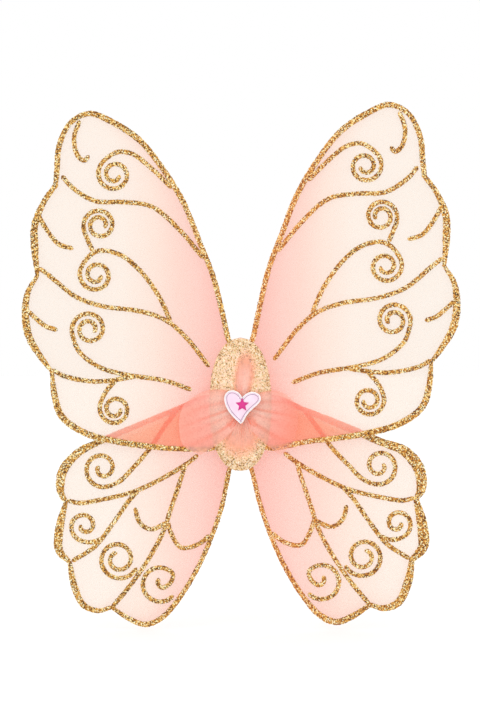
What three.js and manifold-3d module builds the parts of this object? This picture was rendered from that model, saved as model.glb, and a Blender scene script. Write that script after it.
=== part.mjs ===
// A child's dress-up fairy wings: four sheer wings on wire frames, edged and veined with glitter,
// joined by a padded oval with a gathered veil and a heart badge in front and two arm loops behind.
//
// Millimetres. +X is the right of the display side, +Z is up and the display side faces -Y.
// The origin is the middle of the flat felt that lies against the wearer's back.

import * as THREE from "three";
import { mergeVertices } from "three/addons/utils/BufferGeometryUtils.js";
import Module from "manifold-3d";

const wasm = await Module();
wasm.setup();

// ---------------------------------------------------------------- driving sizes

const WING_REACH = 187; // middle of the pad to the widest point of an upper wing
const WING_RISE = 253; // middle of the pad to the top of the lower-set upper wing

const PAD_HALF_WIDTH = 27.5;
const PAD_HALF_HEIGHT = 58.3;
const PAD_DEPTH = 21; // felt face to the top of the dome
const FELT_THICKNESS = 1.2;
const BOARD_THICKNESS = 1.2;
const COVER_THICKNESS = 0.8;

const WIRE_RADIUS = 1;
const MESH_THICKNESS = 0.3;
const GLITTER_THICKNESS = 0.5;
const STROKE_WIDTH = 3.7; // a glitter vein or spiral

const WEBBING_WIDTH = 10;
const WEBBING_THICKNESS = 1.2;
const STRAP_OFFSET = 13; // middle of the pad to the middle of an arm loop
const STRAP_HALF_SPAN = 38; // half the distance between a loop's two sewn ends
const STRAP_REACH = 100; // how far a loop stands back from its pivot line

const FIT_GAP = 0.3; // between pieces that touch
const WING_GAP = 3; // air between an upper wing and the lower wing behind it
const WIRE_EXIT = 3; // a frame's pivot point stands this far outside the pad's rim
const WIRE_BREAK = 0.8; // from a pivot point to the wire on either side of it
const SHEET_CLEARANCE = 4.5; // from the pad's rim to the edge of a wing's mesh

// The wing outlines below are drawn at this size and stretched to WING_REACH and WING_RISE.
const DRAWN_REACH = 187;
const DRAWN_RISE = 253;

// ---------------------------------------------------------------- layers, as depths in front of the felt face

const TAB_BACK = FELT_THICKNESS + FIT_GAP;
const BOARD_BACK = TAB_BACK + WEBBING_THICKNESS + FIT_GAP;
const BOARD_FRONT = BOARD_BACK + BOARD_THICKNESS;
const WING_REAR = WIRE_RADIUS + FIT_GAP + MESH_THICKNESS;
const WING_FRONT = WING_REAR + FIT_GAP + GLITTER_THICKNESS;
const LOWER_PLANE = BOARD_FRONT + FIT_GAP + WIRE_RADIUS;
const UPPER_PLANE = LOWER_PLANE + WING_FRONT + WING_GAP + WING_REAR;
const VEIL_BACK = UPPER_PLANE + WING_FRONT + FIT_GAP;
const VEIL_THICKNESS = 1.6;
const GATHER_BACK = PAD_DEPTH + FIT_GAP;
const GATHER_THICKNESS = 3;
const BADGE_BACK = GATHER_BACK + GATHER_THICKNESS + FIT_GAP;
const BADGE_BACKING_THICKNESS = 1;
const BADGE_SATIN_BACK = BADGE_BACK + BADGE_BACKING_THICKNESS + FIT_GAP;
const BADGE_SATIN_THICKNESS = 3.5;
const BADGE_EDGE_THICKNESS = 2.2;
const MOTIF_BACK = BADGE_SATIN_BACK + BADGE_SATIN_THICKNESS + FIT_GAP;
const MOTIF_THICKNESS = 0.5;

// Where each wing's wire leaves the pad, as angles round the rim from +X, in degrees.
const UPPER_EXITS = { first: 69.4, last: -38.1 };
const LOWER_EXITS = { first: 5.9, last: -70.9 };

// The two sides. The right wings were fixed a little higher and further out than the left.
const SIDES = [
  {
    name: "left",
    sign: -1,
    upper: { turn: 0, out: 0, up: 0, drop: 0 },
    lower: { turn: 0, out: 0, up: 0, drop: 0 },
  },
  {
    name: "right",
    sign: 1,
    upper: { turn: 1, out: 2.5, up: 5.5, drop: 0 },
    lower: { turn: 0, out: 0.8, up: 2.2, drop: 3 },
  },
];

// ---------------------------------------------------------------- wing drawings
// Points are [outward, up], and a border's third number is the width of its glitter line there.
// A coil winds in from radius `from` to radius `to` between two angles in degrees.

const UPPER_BORDER = [
  [
    [16, 81, 4.3], [24, 112, 4.3], [35.8, 142, 4.3], [49.5, 175.4, 4.5], [66.9, 204, 4.5],
    [88, 230, 4.8], [111.7, 245.7, 5], [131.5, 253, 4.5], [147.7, 245, 4], [157.6, 225, 4.5],
    [159.6, 203, 4.5], [160.8, 190.4, 4],
  ],
  [[160.8, 190.4, 4], [171.3, 175.4, 4.5], [178.8, 155.6, 5.8], [178.8, 135, 6], [176.6, 112, 3]],
  [[176.6, 112, 3], [185, 97, 4.5], [187, 78, 6], [183.7, 58.7, 6], [172, 39, 4.5], [164, 28.8, 3]],
  [
    [164, 28.8, 3], [161.6, 7.7, 5], [155.3, -10.4, 5.5], [135.3, -24.7, 5.2],
    [105.4, -32.6, 5], [78, -36.5, 4.6], [57, -38.4, 4.2],
  ],
];

const UPPER_STROKES = [
  // top vein and its two coils
  {
    tail: [
      [155.3, 199], [146.6, 189], [126.6, 177], [101.7, 176], [77, 172], [53.2, 152], [32, 127],
    ],
  },
  {
    tail: [[59.6, 188], [77, 205], [94.4, 218], [107, 219.5]],
    coil: { centre: [109.5, 200], from: 15, to: 4.1, start: 53, end: -536 },
  },
  { tail: [[139.6, 247], [144.6, 232.7], [142.2, 217.7], [136, 212], [131.5, 216.5]] },
  {
    tail: [[128.4, 133], [132.8, 143]],
    coil: { centre: [122.5, 156], from: 14.2, to: 4.8, start: -17, end: 573 },
  },
  // middle vein and its coil
  {
    tail: [
      [175.5, 119], [165, 111], [142.8, 93.5], [119, 85.3], [86.8, 81], [64.5, 73],
      [47, 58], [27, 32.6],
    ],
  },
  {
    tail: [[60.7, 72], [70.6, 93.5], [86.8, 115.8], [104.2, 130], [121.6, 133.8], [130.3, 130]],
    coil: { centre: [125.5, 112.5], from: 15, to: 4, start: 44, end: -543 },
  },
  // two short curls that spring from the outer border
  { tail: [[176, 165.5], [170, 154.4], [158, 139.5], [145.2, 135.4]] },
  { tail: [[185, 81.5], [176.3, 73.5], [168.9, 67.9], [158.9, 64.6]] },
  // bottom vein and its two coils
  {
    tail: [[42.2, 12.6], [65.7, 20.7], [101.7, 26.3], [122.8, 32.6], [140.2, 46]],
    coil: { centre: [131.5, 65.5], from: 15.5, to: 4.5, start: -25, end: 581 },
  },
  { tail: [[164, 30.6], [153.9, 25], [126.6, 20], [101.7, 22.5], [91, 24.5]] },
  {
    tail: [[108, 21.5], [116.7, 11.4]],
    coil: { centre: [109, -4], from: 13.6, to: 4.5, start: 18, end: -550 },
  },
];

const LOWER_BORDER = [
  [
    [54.5, -3.6, 4], [84.3, -16, 4.5], [121.4, -31.8, 5], [142, -42.5, 6.5], [154.8, -58, 7.5],
    [157, -75.4, 6], [152.4, -85, 3.5],
  ],
  [[152.4, -85, 3.5], [157.7, -107, 7], [158.3, -127, 6.5], [148.9, -137.7, 3.5]],
  [[148.9, -137.7, 3.5], [145.5, -156.6, 5.5], [137, -175, 5], [124, -180, 4], [112.5, -177, 3]],
  [
    [112.5, -177, 3], [97, -187, 4], [83, -192, 4.3], [69, -186.5, 4.3], [52.6, -168, 4],
    [37, -142, 3.8], [25, -115, 3.8], [16, -88, 3.8],
  ],
];

const LOWER_STROKES = [
  {
    tail: [[54.5, -3.6], [65.7, -18.7], [79, -38.4], [94.8, -56.6], [104, -66], [112.5, -70.7]],
    coil: { centre: [120.5, -56], from: 16, to: 3, start: -85, end: 400 },
  },
  {
    tail: [
      [151, -83.7], [140.7, -86], [120.7, -83], [92.7, -76], [66.6, -63.7], [45.7, -51], [37, -44],
    ],
  },
  { tail: [[89, -75], [97, -83.7], [111, -103.6], [126.6, -123.6], [147, -137]] },
  {
    tail: [[121, -117], [130, -120.3]],
    coil: { centre: [136, -106], from: 13.2, to: 2.6, start: -75, end: 380 },
  },
  {
    tail: [
      [48, -52], [52.6, -67], [61.3, -93], [66.6, -109.5], [79.6, -134], [96, -157.7], [112, -177],
    ],
  },
  { tail: [[63.7, -103], [78.4, -109], [88, -103], [92, -90]] },
  { tail: [[63.5, -102], [60.7, -112], [52, -124.8], [38, -122.6], [26, -114]] },
];

// Coils that stand alone on the lower wings.
const LOOSE_COILS = [
  { name: "outer", coil: { centre: [106.5, -135], from: 18, to: 5.5, start: -155, end: 440 } },
  {
    name: "inner",
    coil: { centre: [70.2, -156.8], from: 15.6, to: 14.2, start: -140, end: 142 },
    tip: [[60.7, -155], [67.8, -160], [72, -156.6], [71.3, -151.5]],
  },
];

// ---------------------------------------------------------------- solids

const OVAL_SIDES = 32;

function toSolid(geometry) {
  const bare = geometry.clone();
  bare.deleteAttribute("normal");
  bare.deleteAttribute("uv");
  const merged = mergeVertices(bare, 1e-4);
  return new wasm.Manifold(
    new wasm.Mesh({
      numProp: 3,
      vertProperties: new Float32Array(merged.attributes.position.array),
      triVerts: new Uint32Array(merged.index.array),
    }),
  );
}

function toGeometry(solid) {
  const mesh = solid.getMesh();
  const geometry = new THREE.BufferGeometry();
  geometry.setAttribute("position", new THREE.BufferAttribute(mesh.vertProperties, 3));
  geometry.setIndex(new THREE.BufferAttribute(mesh.triVerts, 1));
  geometry.computeVertexNormals();
  return geometry;
}

// Lays a shape drawn in [x, z] upright and gives it thickness between two depths in front of the felt.
function slab(shape, back, front) {
  const geometry = new THREE.ExtrudeGeometry(shape, {
    depth: front - back,
    bevelEnabled: false,
    curveSegments: 5,
  });
  geometry.rotateX(Math.PI / 2);
  geometry.translate(0, -back, 0);
  return toSolid(geometry);
}

// A solid turned about the Y axis from [radius, depth] points, listed from the back of the axis round
// to its front, and stretched to the pad's oval.
function ovalSolid(profile, halfWidth, halfHeight, segments = OVAL_SIDES) {
  const points = profile.map(([radius, depth]) => new THREE.Vector2(radius, -depth));
  const geometry = new THREE.LatheGeometry(points.reverse(), segments);
  geometry.scale(halfWidth, 1, halfHeight);
  return toSolid(geometry);
}

// The same oval as ovalSolid's rim, corner for corner, so that nested ovals keep their gap.
function ovalShape(halfWidth, halfHeight) {
  return new THREE.Shape(
    Array.from({ length: OVAL_SIDES }, (_, i) => {
      const angle = (2 * Math.PI * i) / OVAL_SIDES;
      return new THREE.Vector2(halfWidth * Math.sin(angle), halfHeight * Math.cos(angle));
    }),
  );
}

function rectangle(centreX, centreZ, width, height) {
  const [x0, x1] = [centreX - width / 2, centreX + width / 2];
  const [z0, z1] = [centreZ - height / 2, centreZ + height / 2];
  return new THREE.Shape([
    new THREE.Vector2(x0, z0),
    new THREE.Vector2(x1, z0),
    new THREE.Vector2(x1, z1),
    new THREE.Vector2(x0, z1),
  ]);
}

// ---------------------------------------------------------------- lines
// A line is an array of Vector3 whose x and y lie in the wing's plane and whose z is the width there.

function smoothLine(points, samplesPerSpan = 12) {
  const curve = new THREE.CatmullRomCurve3(points, false, "centripetal");
  return curve.getPoints((points.length - 1) * samplesPerSpan);
}

// Drops samples that lie within `tolerance` of the line through their neighbours.
function thinned(line, tolerance) {
  if (line.length < 3) return line;
  const [a, b] = [line[0], line[line.length - 1]];
  const along = new THREE.Vector2(b.x - a.x, b.y - a.y);
  const length = along.length() || 1;
  let [worst, at] = [0, 0];
  for (let i = 1; i < line.length - 1; i++) {
    const away = new THREE.Vector2(line[i].x - a.x, line[i].y - a.y);
    const distance = Math.abs(along.cross(away)) / length;
    if (distance > worst) [worst, at] = [distance, i];
  }
  if (worst <= tolerance) return [a, b];
  return [
    ...thinned(line.slice(0, at + 1), tolerance).slice(0, -1),
    ...thinned(line.slice(at), tolerance),
  ];
}

// Each point of a line with its sideways direction, lengthened at bends so that edges stay parallel.
function withSides(line) {
  return line.map((point, i) => {
    const before = line[Math.max(i - 1, 0)];
    const after = line[Math.min(i + 1, line.length - 1)];
    const inward = new THREE.Vector2(point.x - before.x, point.y - before.y).normalize();
    const onward = new THREE.Vector2(after.x - point.x, after.y - point.y).normalize();
    const heading = inward.clone().add(onward).normalize();
    const side = new THREE.Vector2(-heading.y, heading.x);
    const straight = inward.lengthSq() > 0 ? inward : onward;
    const spread = Math.max(Math.abs(heading.dot(straight)), 0.6);
    return { point, side: side.divideScalar(spread) };
  });
}

function edgeOf(line, offset) {
  return withSides(line).map(
    ({ point, side }) =>
      new THREE.Vector2(point.x + side.x * offset(point), point.y + side.y * offset(point)),
  );
}

function ribbonShape(line) {
  const leftEdge = edgeOf(line, (point) => point.z / 2);
  const rightEdge = edgeOf(line, (point) => -point.z / 2);
  return new THREE.Shape([...leftEdge, ...rightEdge.reverse()]);
}

function coilPoints({ centre, from, to, start, end }, step = 40) {
  const count = Math.round(Math.abs(end - start) / step);
  return Array.from({ length: count + 1 }, (_, i) => {
    const share = i / count;
    const angle = THREE.MathUtils.degToRad(start + (end - start) * share);
    const radius = from + (to - from) * share;
    return [centre[0] + radius * Math.cos(angle), centre[1] + radius * Math.sin(angle)];
  });
}

// ---------------------------------------------------------------- wings

function rimPoint(angle, outside) {
  const radians = THREE.MathUtils.degToRad(angle);
  return [
    (PAD_HALF_WIDTH + outside) * Math.cos(radians),
    (PAD_HALF_HEIGHT + outside) * Math.sin(radians),
  ];
}

// Puts a drawn point where this side's wing has it.
// `drop` lowers only the top edge of a lower wing, which lies above DROP_ENDS and outside DROP_INSIDE.
const DROP_ENDS = { none: -45, full: -33 };
const DROP_INSIDE = { none: 30, full: 55 };

function placed([outward, up], side, placement) {
  const share =
    THREE.MathUtils.smoothstep(up, DROP_ENDS.none, DROP_ENDS.full) *
    THREE.MathUtils.smoothstep(outward, DROP_INSIDE.none, DROP_INSIDE.full);
  const point = new THREE.Vector2(
    outward * (WING_REACH / DRAWN_REACH),
    (up - placement.drop * share) * (WING_RISE / DRAWN_RISE),
  );
  point.rotateAround(new THREE.Vector2(), THREE.MathUtils.degToRad(placement.turn));
  return [side.sign * (point.x + placement.out), point.y + placement.up];
}

// The border as one line from wire exit to wire exit, with its corners kept.
function borderLine(border, exits, side, placement) {
  const width = { first: border[0][0][2], last: border.at(-1).at(-1)[2] };
  const ends = {};
  for (const end of ["first", "last"]) {
    const [outward, up] = rimPoint(exits[end], WIRE_EXIT);
    ends[end] = new THREE.Vector3(side.sign * outward, up, width[end]);
  }
  const arcs = border.map((arc) =>
    arc.map((entry) => new THREE.Vector3(...placed(entry, side, placement), entry[2])),
  );
  arcs[0].unshift(ends.first);
  arcs.at(-1).push(ends.last);
  const lines = arcs.map((arc) => thinned(smoothLine(arc), 0.6));
  return lines.flatMap((line, i) => (i === 0 ? line : line.slice(1)));
}

function strokeLine(stroke, side, placement) {
  const drawn = [
    ...(stroke.tail ?? []),
    ...(stroke.coil ? coilPoints(stroke.coil) : []),
    ...(stroke.tip ?? []),
  ];
  const points = drawn.map(
    (entry) => new THREE.Vector3(...placed(entry, side, placement), STROKE_WIDTH),
  );
  return thinned(smoothLine(points, 6), 0.7);
}

function glitter(lines, plane) {
  const ribbons = lines.map((line) =>
    slab(ribbonShape(line), plane + WING_REAR + FIT_GAP, plane + WING_FRONT),
  );
  const joined = ribbons.reduce((whole, ribbon) => whole.add(ribbon));
  return joined.subtract(rootClearance());
}

// The space round the pad that the moving mesh and glitter keep out of.
function rootClearance() {
  const oval = ovalShape(PAD_HALF_WIDTH + SHEET_CLEARANCE, PAD_HALF_HEIGHT + SHEET_CLEARANCE);
  return slab(oval, 0, PAD_DEPTH);
}

function meshSheet(border, side, back) {
  // the mesh is wrapped round the wire, so its edge stands just outside the wire's centre
  const wrap = (WIRE_RADIUS + MESH_THICKNESS) * side.sign;
  const shape = new THREE.Shape(edgeOf(border, () => wrap));
  return slab(shape, back, back + MESH_THICKNESS).subtract(rootClearance());
}

function lengthOf(line) {
  return line.reduce((sum, point, i) => sum + (i ? point.distanceTo(line[i - 1]) : 0), 0);
}

// A round wire along a flat line, at a depth, with its ends held back by `trim`.
function wire(line, plane, trim, spacing, radius = WIRE_RADIUS, sides = 6) {
  const flat = line.map((point) => new THREE.Vector3(point.x, -plane, point.y));
  const first = flat[0].clone().lerp(flat[1], trim / flat[0].distanceTo(flat[1]));
  const end = flat.length - 1;
  const last = flat[end].clone().lerp(flat[end - 1], trim / flat[end].distanceTo(flat[end - 1]));
  const path = new THREE.CatmullRomCurve3([first, ...flat.slice(1, -1), last], false, "centripetal");
  const section = new THREE.Shape(
    Array.from({ length: sides }, (_, i) => {
      const angle = (2 * Math.PI * i) / sides;
      return new THREE.Vector2(radius * Math.cos(angle), radius * Math.sin(angle));
    }),
  );
  const steps = Math.ceil(lengthOf(flat) / spacing);
  return toSolid(new THREE.ExtrudeGeometry(section, { steps, extrudePath: path }));
}

// The part of a wing's wire that is buried in the pad, bowed in from one exit to the other.
function rootLine(exits, side, waist) {
  const corners = [
    rimPoint(exits.first, WIRE_EXIT),
    rimPoint(exits.first, -3),
    ...waist,
    rimPoint(exits.last, -3),
    rimPoint(exits.last, WIRE_EXIT),
  ];
  return corners.map(([outward, up]) => new THREE.Vector3(side.sign * outward, up, 0));
}

function upperRootLine(side) {
  return rootLine(UPPER_EXITS, side, [
    [0.25 * PAD_HALF_WIDTH, 0.55 * PAD_HALF_HEIGHT],
    [0.25 * PAD_HALF_WIDTH, -0.1 * PAD_HALF_HEIGHT],
  ]);
}

function lowerRootLine(side) {
  return rootLine(LOWER_EXITS, side, [
    [0.45 * PAD_HALF_WIDTH, 0],
    [0.22 * PAD_HALF_WIDTH, -0.5 * PAD_HALF_HEIGHT],
  ]);
}

// ---------------------------------------------------------------- materials

function material(name, color, roughness, metalness = 0) {
  const made = new THREE.MeshStandardMaterial({ color, roughness, metalness });
  made.name = name;
  return made;
}

const MATERIALS = {
  mesh: material("mesh", 0xf8c9b8, 0.7),
  glitter: material("glitter", 0xb8893a, 0.45, 0.6),
  wire: material("wire", 0xb9bcc0, 0.35, 0.9),
  cover: material("cover", 0xe9c691, 0.6, 0.3),
  foam: material("foam", 0xf4efe2, 0.9),
  board: material("board", 0xdcd5c4, 0.8),
  felt: material("felt", 0xf3a48c, 0.95),
  veil: material("veil", 0xf9ab98, 0.65),
  satin: material("satin", 0xfbe3ef, 0.35),
  trim: material("trim", 0xffffff, 0.4),
  motif: material("motif", 0xe0559c, 0.4),
  webbing: material("webbing", 0xf39b86, 0.8),
};

const wings = new THREE.Group();

function place(name, solid, look, parent = wings) {
  const mesh = new THREE.Mesh(toGeometry(solid), MATERIALS[look]);
  mesh.name = name;
  parent.add(mesh);
  return mesh;
}

// ---------------------------------------------------------------- the four wings

function addWing(kind, side, { border, strokes, exits, plane, placement, root }) {
  const edge = borderLine(border, exits, side, placement);
  const label = `${kind}_${side.name}`;
  const veins = strokes.map((stroke) => strokeLine(stroke, side, placement));
  place(`frame_wire_${label}`, wire(edge, plane, WIRE_BREAK, 14), "wire");
  place(`mesh_back_${label}`, meshSheet(edge, side, plane - WING_REAR), "mesh");
  place(`mesh_front_${label}`, meshSheet(edge, side, plane + WIRE_RADIUS + FIT_GAP), "mesh");
  place(`glitter_${label}`, glitter([edge, ...veins], plane), "glitter");
  place(`root_wire_${label}`, wire(root, plane, WIRE_BREAK, 9), "wire");
}

function addLooseCoils(side) {
  for (const { name, ...stroke } of LOOSE_COILS) {
    const line = strokeLine(stroke, side, side.lower);
    place(`coil_${name}_${side.name}`, glitter([line], LOWER_PLANE), "glitter");
  }
}

// ---------------------------------------------------------------- the pad

const DOME_PROFILE = [
  // radius as a share of the oval, height as a share of the dome
  [1, 0],
  [0.97, 0.3],
  [0.88, 0.57],
  [0.72, 0.78],
  [0.5, 0.92],
  [0.25, 0.99],
];

function domeProfile(base, shoulder, top) {
  const dome = DOME_PROFILE.map(([radius, share]) => [radius, shoulder + share * (top - shoulder)]);
  return [[0, base], [1, base], ...dome, [0, top]];
}

// Everything a wing's wire passes through is cleared to this much round it.
function wireChannel(line, plane) {
  return wire(line, plane, 0, 9, WIRE_RADIUS + FIT_GAP);
}

function wireChannels() {
  const channels = SIDES.flatMap((side) => [
    wireChannel(upperRootLine(side), UPPER_PLANE),
    wireChannel(lowerRootLine(side), LOWER_PLANE),
  ]);
  return channels.reduce((whole, channel) => whole.add(channel));
}

function addPad() {
  const channels = wireChannels();
  const coverBack = BOARD_FRONT + FIT_GAP;
  const shoulder = UPPER_PLANE;
  const foamTop = PAD_DEPTH - COVER_THICKNESS - FIT_GAP;
  const foamInset = COVER_THICKNESS + FIT_GAP;
  const foamHalfWidth = PAD_HALF_WIDTH - foamInset;
  const foamHalfHeight = PAD_HALF_HEIGHT - foamInset;

  const slits = strapAnchors().map(({ x, z }) =>
    slab(
      rectangle(x, z, WEBBING_WIDTH + 2 * FIT_GAP, WEBBING_THICKNESS + 2 * FIT_GAP),
      -1,
      FELT_THICKNESS + 1,
    ),
  );
  const felt = slab(ovalShape(PAD_HALF_WIDTH, PAD_HALF_HEIGHT), 0, FELT_THICKNESS);
  place("back_felt", slits.reduce((whole, slit) => whole.subtract(slit), felt), "felt");

  const board = slab(ovalShape(foamHalfWidth, foamHalfHeight), BOARD_BACK, BOARD_FRONT);
  place("stiffener_board", board, "board");

  const spacer = slab(
    ovalShape(foamHalfWidth, foamHalfHeight),
    LOWER_PLANE,
    UPPER_PLANE - FIT_GAP / 2,
  );
  place("foam_spacer", spacer.subtract(channels), "foam");

  const dome = ovalSolid(
    domeProfile(UPPER_PLANE + FIT_GAP / 2, shoulder + FIT_GAP, foamTop),
    foamHalfWidth,
    foamHalfHeight,
  );
  place("foam_dome", dome.subtract(channels), "foam");

  const outside = ovalSolid(
    domeProfile(coverBack, shoulder, PAD_DEPTH),
    PAD_HALF_WIDTH,
    PAD_HALF_HEIGHT,
  );
  const inside = ovalSolid(
    domeProfile(0, shoulder + FIT_GAP, foamTop + FIT_GAP),
    foamHalfWidth + FIT_GAP,
    foamHalfHeight + FIT_GAP,
  );
  place("front_cover", outside.subtract(inside).subtract(channels), "cover");
}

// ---------------------------------------------------------------- the arm loops

const STRAP_PIVOT = 6; // the loops swing about a line this far behind the felt
const STRAP_TAB_TOP = 5.2; // the sewn end stands this far out of its slit
const STRAP_TWIST = 5.2; // the webbing twists freely for this far beyond the pivot line
const STRAP_SEAM = 14; // length of webbing sewn flat inside the pad

function strapAnchors() {
  return SIDES.flatMap((side) =>
    ["top", "bottom"].map((end) => ({
      side,
      end,
      x: side.sign * STRAP_OFFSET,
      z: (end === "top" ? 1 : -1) * STRAP_HALF_SPAN,
    })),
  );
}

// Webbing that follows a line of [y, z] points, standing across X.
function webbing(points, x) {
  const line = points.map(([y, z]) => new THREE.Vector3(y, z, WEBBING_THICKNESS));
  const geometry = new THREE.ExtrudeGeometry(ribbonShape(line), {
    depth: WEBBING_WIDTH,
    bevelEnabled: false,
  });
  // the drawing's x and y become the row's y and z
  geometry.applyMatrix4(new THREE.Matrix4().set(0, 0, 1, 0, 1, 0, 0, 0, 0, 1, 0, 0, 0, 0, 0, 1));
  geometry.translate(x - WEBBING_WIDTH / 2, 0, 0);
  return toSolid(geometry);
}

function addStraps() {
  const start = STRAP_PIVOT + STRAP_TWIST;
  const loop = Array.from({ length: 25 }, (_, i) => {
    const angle = Math.PI * (i / 24 - 0.5);
    return [start + (STRAP_REACH - STRAP_TWIST) * Math.cos(angle), STRAP_HALF_SPAN * Math.sin(angle)];
  });
  for (const side of SIDES) {
    place(`arm_loop_${side.name}`, webbing(loop, side.sign * STRAP_OFFSET), "webbing");
  }
  const seamDepth = TAB_BACK + WEBBING_THICKNESS / 2;
  for (const { side, end, x, z } of strapAnchors()) {
    const inward = end === "top" ? -1 : 1;
    const tab = [[STRAP_TAB_TOP, z], [-seamDepth, z], [-seamDepth, z + inward * STRAP_SEAM]];
    place(`loop_end_${end}_${side.name}`, webbing(tab, x), "webbing");
  }
}

// ---------------------------------------------------------------- the veil and the badge

// A veil end that lies on an upper wing: inner and outer edge as [lowest, highest] heights.
const VEIL_INNER_REACH = 35;
const VEIL_ENDS = {
  left: { reach: 54, inner: [-16, 8], outer: [-28, -3] },
  right: { reach: 52, inner: [-14, 10], outer: [-39, 25] },
};
const GATHER_HALF_WIDTH = 17;
const GATHER_HALF_HEIGHT = 12;

function addVeil() {
  const gather = ovalSolid(
    [
      [0, GATHER_BACK],
      [0.9, GATHER_BACK],
      [1, GATHER_BACK + 0.4 * GATHER_THICKNESS],
      [0.85, GATHER_BACK + GATHER_THICKNESS],
      [0, GATHER_BACK + GATHER_THICKNESS],
    ],
    GATHER_HALF_WIDTH,
    GATHER_HALF_HEIGHT,
    20,
  );
  place("veil_gather", gather, "veil");
  for (const side of SIDES) {
    const { reach, inner, outer } = VEIL_ENDS[side.name];
    const shape = new THREE.Shape([
      new THREE.Vector2(side.sign * VEIL_INNER_REACH, inner[0]),
      new THREE.Vector2(side.sign * reach, outer[0]),
      new THREE.Vector2(side.sign * reach, outer[1]),
      new THREE.Vector2(side.sign * VEIL_INNER_REACH, inner[1]),
    ]);
    place(`veil_end_${side.name}`, slab(shape, VEIL_BACK, VEIL_BACK + VEIL_THICKNESS), "veil");
  }
}

// A lopsided heart: its right side curves inwards on its way down to the tip.
function heartShape(grow = 0) {
  const heart = new THREE.Shape();
  heart.moveTo(1.3, -17.5);
  heart.bezierCurveTo(-5, -12.5, -12.5, -5.5, -14, 3.5);
  heart.bezierCurveTo(-14.7, 9, -11.5, 12.6, -7.4, 12.6);
  heart.bezierCurveTo(-3.5, 12.6, 0.4, 10, 1.4, 6.2);
  heart.bezierCurveTo(4, 10, 8.5, 12, 12.3, 11);
  heart.bezierCurveTo(16.5, 10, 18.6, 7, 17.2, 3.2);
  heart.bezierCurveTo(15, -1.6, 6, -4, 1.3, -17.5);
  const outline = heart.getPoints(6).slice(0, -1);
  if (grow === 0) return new THREE.Shape(outline);
  const closed = [...outline, outline[0]].map((point) => new THREE.Vector3(point.x, point.y, 0));
  const edge = edgeOf(closed, () => grow).slice(1, -1);
  return new THREE.Shape([new THREE.Vector2(1.3, -17.5 - 1.9 * grow), ...edge]);
}

function starShape(centreX, centreZ, radius, points = 5, waist = 0.5) {
  return new THREE.Shape(
    Array.from({ length: 2 * points }, (_, i) => {
      const angle = Math.PI / 2 + (Math.PI * i) / points;
      const reach = i % 2 ? radius * waist : radius;
      return new THREE.Vector2(centreX + reach * Math.cos(angle), centreZ + reach * Math.sin(angle));
    }),
  );
}

const BADGE_EDGE_WIDTH = 1.3;

function addBadge() {
  const backing = slab(heartShape(), BADGE_BACK, BADGE_BACK + BADGE_BACKING_THICKNESS);
  place("badge_backing", backing, "felt");

  const satin = slab(
    heartShape(-BADGE_EDGE_WIDTH - FIT_GAP),
    BADGE_SATIN_BACK,
    BADGE_SATIN_BACK + BADGE_SATIN_THICKNESS,
  );
  place("badge_satin", satin, "satin");

  const edgeFront = BADGE_SATIN_BACK + BADGE_EDGE_THICKNESS;
  const opening = slab(heartShape(-BADGE_EDGE_WIDTH), BADGE_SATIN_BACK - 1, edgeFront + 1);
  const edge = slab(heartShape(), BADGE_SATIN_BACK, edgeFront).subtract(opening);
  place("badge_edge", edge, "trim");

  const motif = slab(starShape(1.5, 0, 6), MOTIF_BACK, MOTIF_BACK + MOTIF_THICKNESS);
  place("badge_motif", motif, "motif");
}

// ---------------------------------------------------------------- assembly

for (const side of SIDES) {
  addWing("upper", side, {
    border: UPPER_BORDER,
    strokes: UPPER_STROKES,
    exits: UPPER_EXITS,
    plane: UPPER_PLANE,
    placement: side.upper,
    root: upperRootLine(side),
  });
  addWing("lower", side, {
    border: LOWER_BORDER,
    strokes: LOWER_STROKES,
    exits: LOWER_EXITS,
    plane: LOWER_PLANE,
    placement: side.lower,
    root: lowerRootLine(side),
  });
  addLooseCoils(side);
}
addPad();
addStraps();
addVeil();
addBadge();

export default wings;
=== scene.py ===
import math

import bmesh
import bpy
import numpy as np
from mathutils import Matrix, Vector, noise
from mathutils.geometry import delaunay_2d_cdt


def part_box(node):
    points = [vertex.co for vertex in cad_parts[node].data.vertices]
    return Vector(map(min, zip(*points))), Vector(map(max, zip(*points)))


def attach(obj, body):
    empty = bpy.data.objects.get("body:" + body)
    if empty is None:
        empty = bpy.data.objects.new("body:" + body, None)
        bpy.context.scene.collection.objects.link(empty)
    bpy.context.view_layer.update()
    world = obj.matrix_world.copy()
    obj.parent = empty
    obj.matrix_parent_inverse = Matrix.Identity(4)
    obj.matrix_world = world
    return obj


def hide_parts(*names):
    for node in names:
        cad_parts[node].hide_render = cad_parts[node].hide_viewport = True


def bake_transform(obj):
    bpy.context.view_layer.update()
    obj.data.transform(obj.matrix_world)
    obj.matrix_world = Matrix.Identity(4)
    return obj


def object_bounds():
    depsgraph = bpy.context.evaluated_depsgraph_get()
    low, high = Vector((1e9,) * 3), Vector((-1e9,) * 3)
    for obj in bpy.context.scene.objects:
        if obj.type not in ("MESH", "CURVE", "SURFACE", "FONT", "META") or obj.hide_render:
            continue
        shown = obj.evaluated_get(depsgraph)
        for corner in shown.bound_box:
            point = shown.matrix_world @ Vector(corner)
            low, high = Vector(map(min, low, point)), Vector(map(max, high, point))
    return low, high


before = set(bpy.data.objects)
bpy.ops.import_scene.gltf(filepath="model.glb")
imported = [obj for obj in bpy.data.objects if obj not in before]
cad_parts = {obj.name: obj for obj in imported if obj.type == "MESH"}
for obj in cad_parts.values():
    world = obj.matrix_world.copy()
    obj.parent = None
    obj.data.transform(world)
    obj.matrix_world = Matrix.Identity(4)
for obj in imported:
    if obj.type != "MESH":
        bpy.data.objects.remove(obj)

CAD_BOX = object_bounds()
MM = 0.001

# ---------- sizes taken from the frame


def middle_y(node):
    low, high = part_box(node)
    return (low[1] + high[1]) / 2


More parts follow.
